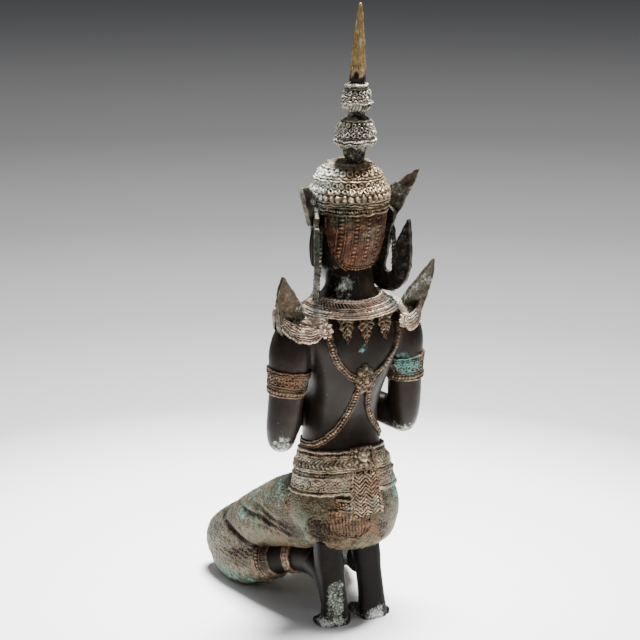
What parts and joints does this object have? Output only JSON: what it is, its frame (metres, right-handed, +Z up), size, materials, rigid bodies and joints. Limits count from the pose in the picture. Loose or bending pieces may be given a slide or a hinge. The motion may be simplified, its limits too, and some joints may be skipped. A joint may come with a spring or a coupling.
{
  "type": "kneeling thepphanom figure",
  "caption": "Kneeling crowned deity with joined hands, sitting back on upright soles, with pointed epaulettes, crossed straps and a tiered spire; stands by its own weight.",
  "frame": {"origin": "on the floor plane, under the middle of the whole figure's bounding box", "axes": "+Z up, the figure faces -Y, +X is the figure's left side"},
  "size_m": [0.1412, 0.1998, 0.5],
  "materials": {
    "dark_bronze": "dark brown patina with copper-tan relief and green verdigris, satin",
    "golden_brass": "worn golden brown, satin"
  },
  "bodies": {
    "root": {"figure": "dark_bronze", "spire_tip": "golden_brass"}
  },
  "joints": []
}
